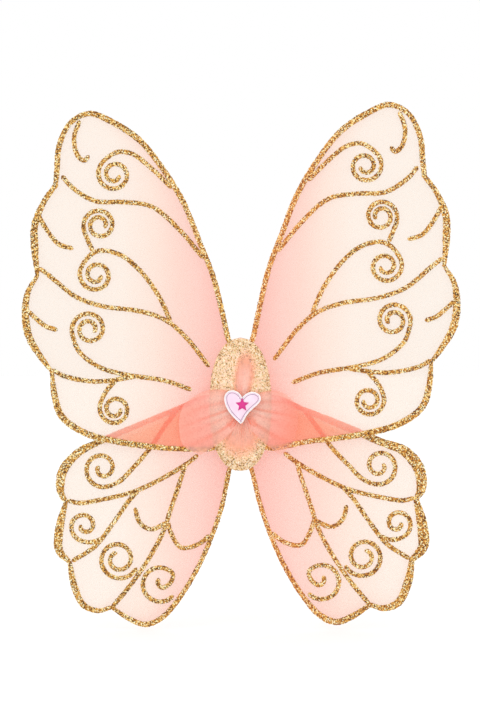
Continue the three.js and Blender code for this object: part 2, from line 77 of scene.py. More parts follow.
COVER_LOW, COVER_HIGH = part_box("front_cover")
PAD_WIDE = (COVER_HIGH[0] - COVER_LOW[0]) / 2
PAD_TALL = (COVER_HIGH[2] - COVER_LOW[2]) / 2
PAD_FRONT = -COVER_LOW[1]
PAD_BACK = -COVER_HIGH[1]
PLANES = {kind: middle_y(f"frame_wire_{kind}_left") for kind in ("upper", "lower")}
WIRE_LOW, WIRE_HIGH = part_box("frame_wire_upper_left")
WIRE_RADIUS = (WIRE_HIGH[1] - WIRE_LOW[1]) / 2
BADGE_FRONT, BADGE_REAR = (corner[1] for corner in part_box("badge_satin"))
BADGE_RIM = BADGE_FRONT + 1.4 * MM

# ---------- sizes of what only shows here

PAD_SQUARENESS = 2.3  # 2 would be a plain ellipse
SHOULDER_DEPTH = -PLANES["upper"]
COVER_SET_BACK = 0.1 * MM  # the cover is made this far behind the dome, then relief is added
DEEPEST_CREASE = -0.5  # in millimetres: deeper, and the foam would show through
LAYER_OFFSET = 1.45 * MM  # wing mesh stands this far off the middle of its wire
GLITTER_OFFSET = LAYER_OFFSET + 0.15 * MM
BEAD_HEIGHT = 0.75 * MM
BEAD_STEP = 0.9 * MM
EDGE_STEP = 3 * MM
FAR_FROM_PAD = [40]  # a point of the wing's edge, counted in those steps
SHEET_STEP = 4.5 * MM
STROKE_WIDTH = 4.0  # in the drawings' millimetres, as WIRE_EXIT is
BORDER_SPREAD = 1.08  # glitter on the wire is this much wider than drawn
LOWER_RIGHT_EXTRA = 0.25  # and the lower right wing has this much more on its outer half
WIRE_EXIT = 3.0  # the wire first shows this far outside the pad
WEBBING_THICKNESS = 1.2 * MM
RIB_DEPTH = 0.1 * MM
BADGE_SWELL = 1.5 * MM
BADGE_ROUNDING = 2.2 * MM  # how soon the satin reaches its full swell
SHEER = 0.3  # share of a layer of wing mesh that is thread and not gap
PINCH_RADIUS = 30 * MM  # the mesh is gathered inside this distance from the middle

# For each wing: how far it is turned, in degrees, and moved out and up, in millimetres, and how
# far its top edge is lowered where it lies above DROP_UP and outside DROP_OUTWARD.
SIDES = {
    "left": {"sign": -1, "upper": (0, 0, 0, 0), "lower": (0, 0, 0, 0)},
    "right": {"sign": 1, "upper": (1, 2.5, 5.5, 0), "lower": (0, 0.8, 2.2, 3)},
}
DROP_UP = (-45, -33)  # none below the first, all of it above the second
DROP_OUTWARD = (30, 55)

# Below 1, the pink by the pad reaches further out over that wing.
WARMTH = {
    "upper": {"left": 1.0, "right": 1.05},
    "lower": {"left": 0.95, "right": 0.75},
}

# ---------- wing drawings, in millimetres
# Points are (outward, up), and a border's third number is the width of its glitter line there.


def coil(centre, first, last, start, end, step=25):
    """A coil's points, from its first and last radius and its angles in degrees."""
    count = int(abs(end - start) / step)
    share = np.linspace(0, 1, count + 1)
    angle = np.radians(start + (end - start) * share)
    radius = first + (last - first) * share
    return list(zip(centre[0] + radius * np.cos(angle), centre[1] + radius * np.sin(angle)))


UPPER_BORDER = [
    [
        (16, 81, 4.3), (24, 112, 4.3), (35.8, 142, 4.3), (49.5, 175.4, 4.5), (66.9, 204, 4.5),
        (88, 230, 4.8), (111.7, 245.7, 5), (131.5, 253, 4.5), (147.7, 245, 4), (157.6, 225, 4.5),
        (159.6, 203, 4.5), (160.8, 190.4, 4),
    ],
    [(160.8, 190.4, 4), (171.3, 175.4, 4.5), (178.8, 155.6, 5.8), (178.8, 135, 6), (176.6, 112, 3)],
    [(176.6, 112, 3), (185, 97, 4.5), (187, 78, 6), (183.7, 58.7, 6), (172, 39, 4.5), (164, 28.8, 3)],
    [
        (164, 28.8, 3), (161.6, 7.7, 5), (155.3, -10.4, 5.5), (135.3, -24.7, 5.2),
        (105.4, -32.6, 5), (78, -36.5, 4.6), (57, -38.4, 4.2),
    ],
]
UPPER_STROKES = [
    [(155.3, 199), (146.6, 189), (126.6, 177), (101.7, 176), (77, 172), (53.2, 152), (32, 127)],
    [(59.6, 188), (77, 205), (94.4, 218), (107, 219.5), *coil((109.5, 200), 15, 4.1, 53, -536)],
    [(139.6, 247), (144.6, 232.7), (142.2, 217.7), (136, 212), (131.5, 216.5)],
    [(128.4, 133), (132.8, 143), *coil((122.5, 156), 14.2, 4.8, -17, 573)],
    [(175.5, 119), (165, 111), (142.8, 93.5), (119, 85.3), (86.8, 81), (64.5, 73), (47, 58),
     (27, 32.6)],
    [(60.7, 72), (70.6, 93.5), (86.8, 115.8), (104.2, 130), (121.6, 133.8), (130.3, 130),
     *coil((125.5, 112.5), 15, 4, 44, -543)],
    [(176, 165.5), (170, 154.4), (158, 139.5), (145.2, 135.4)],
    [(185, 81.5), (176.3, 73.5), (168.9, 67.9), (158.9, 64.6)],
    [(42.2, 12.6), (65.7, 20.7), (101.7, 26.3), (122.8, 32.6), (140.2, 46),
     *coil((131.5, 65.5), 15.5, 4.5, -25, 581)],
    [(164, 30.6), (153.9, 25), (126.6, 20), (101.7, 22.5), (91, 24.5)],
    [(108, 21.5), (116.7, 11.4), *coil((109, -4), 13.6, 4.5, 18, -550)],
]
LOWER_BORDER = [
    [
        (54.5, -3.6, 4), (84.3, -16, 4.5), (121.4, -31.8, 5), (142, -42.5, 6.5), (154.8, -58, 7.5),
        (157, -75.4, 6), (152.4, -85, 3.5),
    ],
    [(152.4, -85, 3.5), (157.7, -107, 7), (158.3, -127, 6.5), (148.9, -137.7, 3.5)],
    [(148.9, -137.7, 3.5), (145.5, -156.6, 5.5), (137, -175, 5), (124, -180, 4), (112.5, -177, 3)],
    [
        (112.5, -177, 3), (97, -187, 4), (83, -192, 4.3), (69, -186.5, 4.3), (52.6, -168, 4),
        (37, -142, 3.8), (25, -115, 3.8), (16, -88, 3.8),
    ],
]
LOWER_STROKES = [
    [(54.5, -3.6), (65.7, -18.7), (79, -38.4), (94.8, -56.6), (104, -66), (112.5, -70.7),
     *coil((120.5, -56), 16, 3, -85, 400)],
    [(151, -83.7), (140.7, -86), (120.7, -83), (92.7, -76), (66.6, -63.7), (45.7, -51), (37, -44)],
    [(89, -75), (97, -83.7), (111, -103.6), (126.6, -123.6), (147, -137)],
    [(121, -117), (130, -120.3), *coil((136, -106), 13.2, 2.6, -75, 380)],
    [(48, -52), (52.6, -67), (61.3, -93), (66.6, -109.5), (79.6, -134), (96, -157.7), (112, -177)],
    [(63.7, -103), (78.4, -109), (88, -103), (92, -90)],
    [(63.5, -102), (60.7, -112), (52, -124.8), (38, -122.6), (26, -114)],
]
LOOSE_COILS = {
    "outer": coil((106.5, -135), 18, 5.5, -155, 440),
    "inner": [
        *coil((70.2, -156.8), 15.6, 14.2, -140, 142),
        (60.7, -155), (67.8, -160), (72, -156.6), (71.3, -151.5),
    ],
}
# The exits are the angles, in degrees round the pad, where the wire leaves it.
WINGS = {
    "upper": {"border": UPPER_BORDER, "strokes": UPPER_STROKES, "exits": (69.4, -38.1)},
    "lower": {"border": LOWER_BORDER, "strokes": LOWER_STROKES, "exits": (5.9, -70.9)},
}

# ---------- lines


def smooth(points, per_span=8):
    """A centripetal Catmull-Rom curve through the points, as an array."""
    p = np.array(points, float)
    p = np.vstack([2 * p[0] - p[1], p, 2 * p[-1] - p[-2]])
    rows = []
    for i in range(1, len(p) - 2):
        before, a, b, after = p[i - 1], p[i], p[i + 1], p[i + 2]
        steps = [max(np.linalg.norm(d) ** 0.5, 1e-6) for d in (a - before, b - a, after - b)]
        lead = (a - before) / steps[0] - (b - before) / (steps[0] + steps[1]) + (b - a) / steps[1]
        trail = (b - a) / steps[1] - (after - a) / (steps[1] + steps[2]) + (after - b) / steps[2]
        lead, trail = lead * steps[1], trail * steps[1]
        t = np.linspace(0, 1, per_span, endpoint=False)[:, None]
        square = 3 * (b - a) - 2 * lead - trail
        cube = 2 * (a - b) + lead + trail
        rows.append(a + lead * t + square * t**2 + cube * t**3)
    return np.vstack([*rows, p[-2]])


def lengths_along(line):
    return np.r_[0, np.cumsum(np.linalg.norm(np.diff(line[:, :2], axis=0), axis=1))]


def spaced(line, step):
    """The same line with evenly spaced points, about `step` apart."""
    lengths = lengths_along(line)
    count = max(int(round(lengths[-1] / step)), 2)
    at = np.linspace(0, lengths[-1], count + 1)
    return np.column_stack([np.interp(at, lengths, line[:, k]) for k in range(line.shape[1])])


def rising(values, start, width):
    """0 up to `start`, then a straight climb to 1 over `width`."""
    return np.clip((values - start) / width, 0, 1)


def falling(values, end, width):
    """1 until `width` before `end`, then a straight fall to 0 there."""
    return np.clip((end - values) / width, 0, 1)


def bell(values, width, middle=0):
    return np.exp(-(((values - middle) / width) ** 2))


def smoothstep(values, start, end):
    share = rising(values, start, end - start)
    return share * share * (3 - 2 * share)


def placed(points, side, kind):
    """Drawn points, in metres, where this side's wing has them. A third column is kept."""
    turn, out, up, drop = SIDES[side][kind]
    rows = np.array(points, float)
    rows[:, 1] -= drop * smoothstep(rows[:, 1], *DROP_UP) * smoothstep(rows[:, 0], *DROP_OUTWARD)
    c, s = math.cos(math.radians(turn)), math.sin(math.radians(turn))
    x = rows[:, 0] * c - rows[:, 1] * s + out
    z = rows[:, 0] * s + rows[:, 1] * c + up
    return np.column_stack([SIDES[side]["sign"] * x, z, *rows[:, 2:].T]) * MM


def rim_point(angle, side, outside=0.0):
    a = math.radians(angle)
    x = (PAD_WIDE + outside * MM) * math.cos(a)
    return np.array([SIDES[side]["sign"] * x, (PAD_TALL + outside * MM) * math.sin(a)])


def border_line(kind, side, step, inside=-1.5):
    """The wing's edge from inside the pad's rim, all the way round and back in."""
    wing = WINGS[kind]
    arcs = [placed(arc, side, kind) for arc in wing["border"]]
    ends = []
    for angle, width in zip(wing["exits"], (arcs[0][0, 2], arcs[-1][-1, 2])):
        ends.append([np.r_[rim_point(angle, side, out), width] for out in (inside, WIRE_EXIT)])
    arcs[0] = np.vstack([*ends[0], arcs[0]])
    arcs[-1] = np.vstack([arcs[-1], *ends[1][::-1]])
    lines = [spaced(smooth(arc), step) for arc in arcs]
    return np.vstack([lines[0], *[line[1:] for line in lines[1:]]])


def stroke_line(stroke, kind, side, step):
    drawn = [(x, z, STROKE_WIDTH) for x, z in stroke]
    return spaced(smooth(placed(drawn, side, kind), 6), step)


def circle(count):
    """Angles evenly spaced round a circle."""
    return np.linspace(0, 2 * math.pi, count, endpoint=False)


def left_of(heading):
    return np.column_stack([-heading[:, 1], heading[:, 0]])


def unit(vectors):
    return vectors / np.linalg.norm(vectors, axis=1)[:, None]


def across_closed(outline):
    """Unit directions across a closed outline, to the left of its heading."""
    around = np.vstack([outline[-1:], outline, outline[:1]])
    return left_of(unit(around[2:] - around[:-2]))


def around_line(line, across, offset, y):
    """Rings along a flat line, from their points' offsets across it and their own y."""
    x = line[:, None, 0] + across[:, None, 0] * offset
    z = line[:, None, 1] + across[:, None, 1] * offset
    return np.stack([x, np.broadcast_to(y, x.shape), z], axis=2)


def sideways(line):
    """Unit directions across a line in the wing's plane."""
    heading = np.gradient(line[:, :2], axis=0)
    return left_of(heading / np.maximum(np.linalg.norm(heading, axis=1), 1e-9)[:, None])


# ---------- meshes


def new_object(name, data):
    made = bpy.data.objects.new(name, data)
    bpy.context.scene.collection.objects.link(made)
    return made


def new_piece(name, verts, faces, smooth_shading=True):
    mesh = bpy.data.meshes.new(name)
    mesh.from_pydata([tuple(v) for v in verts], [], faces)
    mesh.polygons.foreach_set("use_smooth", [smooth_shading] * len(mesh.polygons))
    return new_object(name, mesh)


def face_outward(piece, weld=0.0):
    bm = bmesh.new()
    bm.from_mesh(piece.data)
    if weld:
        bmesh.ops.remove_doubles(bm, verts=bm.verts, dist=weld)
    bmesh.ops.recalc_face_normals(bm, faces=bm.faces)
    bm.to_mesh(piece.data)
    bm.free()
    return piece


def solid(name, mesh, material, smooth_shading=True):
    """A piece whose faces look outwards."""
    piece = face_outward(new_piece(name, *mesh, smooth_shading))
    piece.data.materials.append(material)
    return piece


def coordinates(piece):
    return np.array([v.co for v in piece.data.vertices])


def move_to(piece, points):
    piece.data.vertices.foreach_set("co", points.ravel())
    piece.data.update()


def swept(rings, closed_ring=True, capped=True):
    """Faces that join rings of equal length, given as an array (rings, points, 3)."""
    count, size = rings.shape[:2]
    faces = []
    for i in range(count - 1):
        for j in range(size if closed_ring else size - 1):
            k = (j + 1) % size
            faces.append((i * size + j, i * size + k, (i + 1) * size + k, (i + 1) * size + j))
    if capped and closed_ring:
        faces.append(tuple(range(size))[::-1])
        faces.append(tuple((count - 1) * size + j for j in range(size)))
    return rings.reshape(-1, 3), faces


def joined(parts):
    verts, faces, start = [], [], 0
    for part_verts, part_faces in parts:
        verts.append(part_verts)
        faces += [tuple(i + start for i in face) for face in part_faces]
        start += len(part_verts)
    return np.vstack(verts), faces


def tube(points, radius, sides=10):
    """A round tube along 3-D points, capped."""
    points = np.array(points, float)
    heading = unit(np.gradient(points, axis=0))
    across = np.cross(heading, [0, 1, 0])
    across[np.linalg.norm(across, axis=1) < 1e-6] = [1, 0, 0]
    across = unit(across)
    up = np.cross(across, heading)
    angle = circle(sides)
    cos, sin = np.cos(angle)[None, :, None], np.sin(angle)[None, :, None]
    ring = across[:, None] * cos + up[:, None] * sin
    return swept(points[:, None] + radius * ring)


def set_attribute(piece, name, values):
    attribute = piece.data.attributes.new(name, "FLOAT", "POINT")
    attribute.data.foreach_set("value", np.asarray(values, np.float32))


def inside_polygon(points, polygon):
    x, z = points[:, 0], points[:, 1]
    result = np.zeros(len(points), bool)
    for (x0, z0), (x1, z1) in zip(polygon, np.roll(polygon, -1, axis=0)):
        crosses = (z0 > z) != (z1 > z)
        with np.errstate(divide="ignore", invalid="ignore"):
            result ^= crosses & (x < (x1 - x0) * (z - z0) / (z1 - z0) + x0)
    return result


def distance_to(points, line):
    """How far each point is from the nearest point of a finely spaced line."""
    return np.sqrt(((points[:, None] - line[None, :, :2]) ** 2).sum(2).min(1))


def fill(outline, step):
    """Triangles over an outline with a grid of inner points: (points, faces)."""
    low, high = outline.min(0), outline.max(0)
    xs, zs = (np.arange(low[k] + step / 2, high[k], step) for k in (0, 1))
    grid = np.array([(x + (step / 2 if j % 2 else 0), z) for j, z in enumerate(zs) for x in xs])
    grid = grid[inside_polygon(grid, outline)]
    grid = grid[distance_to(grid, outline) > 0.45 * step]
    count = len(outline)
    edges = [(i, (i + 1) % count) for i in range(count)]
    verts = [Vector(p) for p in (*outline, *grid)]
    points, _, faces, *_ = delaunay_2d_cdt(verts, edges, [], 1, 1e-7)
    return np.array([tuple(p) for p in points]), [tuple(face) for face in faces]


def wobble(points, size, seed=0.0):
    """Smooth noise from -1 to 1 over 2-D points; `size` is its grain in metres."""
    return np.array([noise.noise(Vector((p[0] / size, p[1] / size, seed))) for p in points])


# ---------- materials


def linear(red, green, blue):
    """An sRGB colour from 0 to 255 as linear RGBA."""
    shares = [c / 255 for c in (red, green, blue)]
    return (*[c / 12.92 if c <= 0.04045 else ((c + 0.055) / 1.055) ** 2.4 for c in shares], 1.0)


class Look:
    """A node material under construction. A colour is three numbers, sRGB from 0 to 255."""

    def __init__(self, name):
        self.material = bpy.data.materials.new(name)
        self.material.use_nodes = True
        self.tree = self.material.node_tree
        self.tree.nodes.clear()

    def node(self, kind, **inputs):
        made = self.tree.nodes.new("ShaderNode" + kind)
        for key, value in inputs.items():
            self.feed(made.inputs[key.replace("_", " ")], value)
        return made

    def feed(self, socket, value):
        if isinstance(value, bpy.types.NodeSocket):
            self.tree.links.new(value, socket)
        elif isinstance(value, tuple) and len(value) == 3:
            socket.default_value = linear(*value)
        else:
            socket.default_value = value

    def attribute(self, name):
        made = self.node("Attribute")
        made.attribute_name = name
        return made.outputs["Fac"]

    def place(self):
        return self.node("TexCoord").outputs["Object"]

    def mix(self, amount, first, second, blend="MIX"):
        made = self.node("Mix")
        made.data_type = "RGBA"
        made.blend_type = blend
        self.feed(made.inputs[0], amount)
        self.feed(made.inputs[6], first)
        self.feed(made.inputs[7], second)
        return made.outputs[2]

    def math(self, operation, first, second=0.0, clamp=False):
        made = self.node("Math")
        made.operation = operation
        made.use_clamp = clamp
        self.feed(made.inputs[0], first)
        self.feed(made.inputs[1], second)
        return made.outputs[0]

    def times(self, first, second, clamp=False):
        return self.math("MULTIPLY", first, second, clamp)

    def plus(self, first, second):
        return self.math("ADD", first, second)

    def spots(self, size):
        """Two random numbers per cell of about `size` metres, and the distance from its middle."""
        made = self.node("TexVoronoi", Vector=self.place(), Scale=1 / size)
        grey = self.node("SeparateColor", Color=made.outputs["Color"])
        return grey.outputs[0], grey.outputs[1], made.outputs["Distance"]

    def clouds(self, size, detail=3.0):
        place = self.place()
        return self.node("TexNoise", Vector=place, Scale=1 / size, Detail=detail).outputs[0]

    def ramp(self, amount, stops):
        made = self.node("ValToRGB", Fac=amount)
        elements = made.color_ramp.elements
        while len(elements) < len(stops):
            elements.new(0.5)
        for element, (position, *colour) in zip(elements, stops):
            element.position = position
            element.color = linear(*colour)
        return made.outputs["Color"]

    def shaders(self, kind, first, second, **inputs):
        made = self.node(kind, **inputs)
        sockets = [socket for socket in made.inputs if socket.type == "SHADER"]
        for socket, shader in zip(sockets, (first, second)):
            self.feed(socket, shader.outputs[0])
        return made

    def bump(self, height, strength, distance):
        made = self.node("Bump", Height=height, Strength=strength, Distance=distance)
        return made.outputs["Normal"]

    def finish(self, shader):
        self.node("OutputMaterial", Surface=shader.outputs[0])
        return self.material


def surface(look, colour, roughness, normal=None, metallic=0.0, sheen=0.0, coat=0.0):
    made = look.node("BsdfPrincipled", Base_Color=colour, Roughness=roughness)
    made.inputs["Metallic"].default_value = metallic
    made.inputs["Sheen Weight"].default_value = sheen
    made.inputs["Coat Weight"].default_value = coat
    if normal is not None:
        look.feed(made.inputs["Normal"], normal)
    return made


def knit_grain(look, size):
    """The uneven speckle of a fine knit, about 0.5 on average."""
    _, grain, _ = look.spots(size)
    fine = look.times(grain, 0.6)
    coarse = look.times(look.clouds(size * 3), 0.4)
    return look.plus(fine, coarse)


def see_through(look, colour, tint, stopped, back_light, normal):
    """Threads that scatter light both ways, with tinted light passing between them."""
    front = look.node("BsdfDiffuse", Color=colour, Normal=normal)
    through = look.node("BsdfTranslucent", Color=colour, Normal=normal)
    cloth = look.shaders("MixShader", front, through, Fac=back_light)
    clear = look.node("BsdfTransparent", Color=tint)
    return look.shaders("MixShader", clear, cloth, Fac=stopped)


def wing_mesh_material(kind):
    """Sheer tricot, cream at the outside and coral where it is pinched into the pad."""
    look = Look(f"sheer_{kind}")
    colour = look.ramp(look.attribute("outward"), [
        (0.0, 252, 206, 198),
        (0.14, 252, 220, 212),
        (0.24, 252, 226, 217),
        (0.36, 252, 236, 227),
        (0.52, 251, 243, 236),
        (1.0, 250, 245, 239),
    ])
    colour = look.mix(look.attribute("near_pad"), colour, (252, 172, 160))
    # Painted shade: deeper orange where the two wings' meshes lie over each other, standing in for
    # light filtered through the stacked layers.
    colour = look.mix(look.attribute("painted_filtering_and_copper"), colour, (255, 170, 118))
    grain = knit_grain(look, 0.0008)
    colour = look.mix(look.times(grain, 0.5), colour, (255, 243, 236), "MULTIPLY")
    tint = look.node("Gamma", Color=colour, Gamma=0.5).outputs[0]
    stopped = look.plus(look.times(grain, 0.2), SHEER - 0.1)
    normal = look.bump(grain, 0.25, 0.0002)
    return look.finish(see_through(look, colour, tint, stopped, 0.4, normal))


def line_glitter(side):
    """Gold on the left; a touch more copper in it on the right."""
    look = Look(f"gold_glitter_{side}")
    copper = 8 if side == "right" else 0
    tone, second, distance = look.spots(0.00085)
    # The ramp's middle is the gold's own colour; its dark and pale ends, and the glints below, are
    # painted sparkle: painted dark reflections and painted highlights.
    colour = look.ramp(tone, [
        (0.0, 56 + copper, 28, 0),
        (0.28, 126 + copper, 76, 10),
        (0.52, 194 + copper, 130, 36),
        (0.78, 234, 182, 86),
        (1.0, 255, 248, 190),
    ])
    glint = look.math("GREATER_THAN", second, 0.9)
    colour = look.mix(glint, colour, (255, 246, 205))
    # Painted shade: more orange where the gold lies behind the upper wing or under the net; more
    # copper near the middle.
    colour = look.mix(look.attribute("painted_filtering_and_copper"), colour, (255, 128, 66))
    rough = look.plus(look.times(second, 0.3), 0.25)
    normal = look.bump(distance, 0.6, 0.0004)
    return look.finish(surface(look, colour, rough, normal, metallic=0.25))


def cover_material():
    """Peach fabric crusted with fine gold, thickest towards the rim."""
    look = Look("cover_glitter")
    tone, second, distance = look.spots(0.0008)
    patches = [(0.35, 248, 200, 168), (0.65, 255, 220, 192)]
    soft = look.ramp(look.clouds(0.006), patches)
    flake = look.ramp(tone, [
        (0.0, 164, 134, 78),
        (0.15, 220, 174, 116),
        (0.5, 248, 208, 160),
        (0.85, 255, 232, 198),
        (1.0, 255, 252, 226),
    ])
    share = look.plus(look.times(look.attribute("rim"), 0.3), 0.62)
    colour = look.mix(look.math("LESS_THAN", second, share), soft, flake)
    normal = look.bump(distance, 0.6, 0.0004)
    return look.finish(surface(look, colour, 0.5, normal, sheen=0.1))


def veil_material():
    """Salmon net, with painted shade down between its pleats and a painted lighter colour on their
    ridges, and thicker where it is gathered.
    """
    look = Look("veil_net")
    # The fold ramp is painted shade: darker down in the pleats' valleys, lighter on their ridges.
    colour = look.ramp(look.attribute("fold"), [
        (0.0, 250, 158, 138),
        (0.45, 255, 204, 190),
        (1.0, 255, 216, 202),
    ])
    grain = knit_grain(look, 0.0009)
    gathered = look.attribute("gathered")
    depth = look.times(gathered, 2.5, clamp=True)
    uneven = look.plus(look.times(grain, 0.4), 0.8)
    stopped = look.times(uneven, gathered, clamp=True)
    tint = look.mix(depth, (255, 255, 255), (255, 222, 210))
    normal = look.bump(grain, 0.3, 0.0003)
    return look.finish(see_through(look, colour, tint, stopped, 0.15, normal))


def felt_material(name, colour):
    look = Look(name)
    fluff = look.clouds(0.0012, 6.0)
    shade = look.mix(look.times(fluff, 0.35), colour, (255, 214, 200))
    return look.finish(surface(look, shade, 0.95, look.bump(fluff, 0.5, 0.0004), sheen=0.5))


def satin_material():
    look = Look("badge_satin_weave")
    thread = look.node("TexWave", Vector=look.place(), Scale=500.0, Distortion=0.6)
    tones = [(0.3, 244, 206, 228), (0.7, 252, 226, 240)]
    mist = look.ramp(look.clouds(0.01), tones)
    normal = look.bump(thread.outputs["Fac"], 0.12, 0.0002)
    return look.finish(surface(look, mist, 0.35, normal, sheen=0.3, coat=0.15))


def thread_material(name, colour):
    look = Look(name)
    wave = look.node("TexWave", Vector=look.place(), Scale=700.0, Distortion=1.0)
    twist = wave.outputs["Fac"]
    shade = look.mix(look.times(twist, 0.25), colour, (255, 255, 255), "MULTIPLY")
    return look.finish(surface(look, shade, 0.5, look.bump(twist, 0.4, 0.0002)))


def webbing_material():
    """Elastic with ribs across it, one every 1.3 mm of its own length."""
    look = Look("elastic_webbing")
    turns = look.times(look.attribute("along"), 2 * math.pi / (1.3 * MM))
    ribs = look.plus(look.times(look.math("SINE", turns), 0.35), 0.5)
    ribs = look.plus(ribs, look.times(look.clouds(0.0015), 0.2))
    colour = look.ramp(ribs, [(0.2, 230, 134, 114), (0.85, 250, 172, 152)])
    return look.finish(surface(look, colour, 0.8, look.bump(ribs, 0.4, 0.0003), sheen=0.3))


def plain_grain(name, colour, other, size, roughness):
    look = Look(name)
    grain = look.clouds(size, 5.0)
    shade = look.ramp(grain, [(0.35, *colour), (0.65, *other)])
    return look.finish(surface(look, shade, roughness, look.bump(grain, 0.3, 0.0003)))


# ---------- wings


def bend_with_wing(piece, kind, side):
    """Bakes the piece's transform; the fold line between pad and wing is worked out but not used."""
    first, last = (rim_point(angle, side, WIRE_EXIT) for angle in WINGS[kind]["exits"])
    fold = (first - last) / np.linalg.norm(first - last)
    out = np.array([fold[1], -fold[0]])
    if out[0] * SIDES[side]["sign"] < 0:
        out = -out
    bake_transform(piece)


def bead(line, rng, base_y, height=BEAD_HEIGHT, sides=7):
    """A crusty raised line of glitter glue."""
    length = lengths_along(line)
    to_end = np.minimum(length, length[-1] - length)
    taper = np.sqrt(np.clip(to_end / (line[:, 2] / 2), 0.06, 1))
    half = line[:, 2] / 2 * taper * (1 + 0.1 * wobble(line, 4 * MM, 3.0))
    angle = np.linspace(0, math.pi, sides)
    offset = half[:, None] * np.cos(angle) + rng.normal(0, 0.13 * MM, (len(line), sides))
    rise = height * taper[:, None] * np.sin(angle) ** 0.7
    rise += rng.normal(0, 0.16 * MM, rise.shape) * np.sin(angle)
    y = base_y - np.maximum(rise, 0.02 * MM)
    y[:, [0, -1]] = base_y
    return swept(around_line(line, sideways(line), offset, y))


def paint_filtered_tint(piece, kind, side, behind, under_net=0.0, copper=0.0):
    """Painted shade, more orange, behind the other wing and under the net; `copper` adds orange near
    the middle.
    """
    points = coordinates(piece)[:, [0, 2]]
    reach = np.linalg.norm(points, axis=1)
    tint = under_net * falling(reach, 46 * MM, 16 * MM)
    tint = np.maximum(tint, copper * falling(np.abs(points[:, 0]), 95 * MM, 50 * MM))
    # Painted shade where the other wing's mesh lies over or under this piece, for light filtered
    # through the stacked layers.
    other = border_line("upper" if kind == "lower" else "lower", side, EDGE_STEP)[:, :2]
    shared = inside_polygon(points, other) * behind
    if kind == "upper":
        shared = shared * rising(distance_to(points, other), 0, 7 * MM)
    set_attribute(piece, "painted_filtering_and_copper", np.maximum(tint, shared))


def add_glitter(kind, side, material, rng):
    edge = border_line(kind, side, BEAD_STEP)
    extra = LOWER_RIGHT_EXTRA if (kind, side) == ("lower", "right") else 0
    edge[:, 2] *= BORDER_SPREAD * (1 + extra * rising(edge[:, 0], 50 * MM, 30 * MM))
    strokes = [stroke_line(stroke, kind, side, BEAD_STEP) for stroke in WINGS[kind]["strokes"]]
    parts = [bead(line, rng, PLANES[kind] - GLITTER_OFFSET) for line in (edge, *strokes)]
    piece = solid(f"gold_lines_{kind}_{side}", joined(parts), material, smooth_shading=False)
    # The lower wing's gold gets painted shade where the upper wing lies in front, and both kinds get
    # it under the net.
    behind = 1.0 if kind == "lower" else 0.0
    paint_filtered_tint(piece, kind, side, behind, under_net=0.6, copper=0.2 if side == "right" else 0.05)
    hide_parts(f"glitter_{kind}_{side}")
    bend_with_wing(piece, kind, side)


def add_loose_coils(side, material, rng):
    for name, stroke in LOOSE_COILS.items():
        line = stroke_line(stroke, "lower", side, BEAD_STEP)
        mesh = bead(line, rng, PLANES["lower"] - GLITTER_OFFSET)
        piece = solid(f"gold_coil_{name}_{side}", mesh, material, smooth_shading=False)
        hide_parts(f"coil_{name}_{side}")
        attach(piece, f"lower_wing_{side}")


def add_wire(kind, side, material):
    line = border_line(kind, side, 2.5 * MM, inside=-2.5)
    points = np.column_stack([line[:, 0], np.full(len(line), PLANES[kind]), line[:, 1]])
    piece = solid(f"wire_{kind}_{side}", tube(points, WIRE_RADIUS * 0.98), material)
    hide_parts(f"frame_wire_{kind}_{side}")
    bend_with_wing(piece, kind, side)


def shade_sheet(piece, kind, side):
    """Stores where the mesh is far out, and where it is pinched together, for its material."""
    points = coordinates(piece)[:, [0, 2]]
    beyond = np.maximum(np.linalg.norm(points, axis=1) - PINCH_RADIUS, 0)
    apart = distance_to(points, border_line(kind, side, EDGE_STEP))
    outward = rising(np.abs(points[:, 0]), 12 * MM, 175 * MM) * WARMTH[kind][side]
    set_attribute(piece, "outward", outward * (1 - 0.35 * np.exp(-apart / (8 * MM))))
    set_attribute(piece, "near_pad", 0.45 * np.exp(-beyond / (13 * MM)))
    # Painted shade where the two wings' meshes overlap.
    paint_filtered_tint(piece, kind, side, 0.42 if kind == "lower" else 0.3)


def sheet_ripple(points):
    """Shallow waves all over, and fine gathers that run out from the pad."""
    reach = np.linalg.norm(points, axis=1)
    angle = np.arctan2(points[:, 1], np.abs(points[:, 0]))
    gathers = 0.45 * MM * np.exp(-np.maximum(reach - PINCH_RADIUS, 0) / (26 * MM))
    waves = np.sin(angle * 26 + 2 * reach / MM / 20)
    return 0.22 * MM * wobble(points, 22 * MM, 1.0) + gathers * waves


def add_sheet(kind, side, material):
    """Front and back layers of mesh, wrapped round the wire at their shared edge."""
    plane = PLANES[kind]
    edge = border_line(kind, side, EDGE_STEP, inside=-3)[:, :2]
    first, last = WINGS[kind]["exits"]
    root = [rim_point(a, side, -3.5) for a in np.linspace(last, first, 16)[1:-1]]
    points, faces = fill(np.vstack([edge, root]), SHEET_STEP)
    ripple = sheet_ripple(points) * rising(distance_to(points, edge), 0, 6 * MM)
    parts = []
    for direction in (-1, 1):
        y = plane + direction * LAYER_OFFSET + ripple
        verts = np.column_stack([points[:, 0], y, points[:, 1]])
        parts.append((verts, faces if direction > 0 else [face[::-1] for face in faces]))
    across = sideways(edge)
    probe = (edge - across * MM)[FAR_FROM_PAD]
    outward = across if inside_polygon(probe, edge)[0] else -across
    turn = np.linspace(0, math.pi, 7)
    y = plane - LAYER_OFFSET * np.cos(turn)
    rounding = around_line(edge, outward * LAYER_OFFSET, np.sin(turn), y)
    parts.append(swept(rounding, closed_ring=False))
    piece = new_piece(f"sheer_{kind}_{side}", *joined(parts))
    face_outward(piece, weld=0.02 * MM)
    piece.data.materials.append(material)
    shade_sheet(piece, kind, side)
    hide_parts(f"mesh_front_{kind}_{side}", f"mesh_back_{kind}_{side}")
    bend_with_wing(piece, kind, side)


# ---------- pad


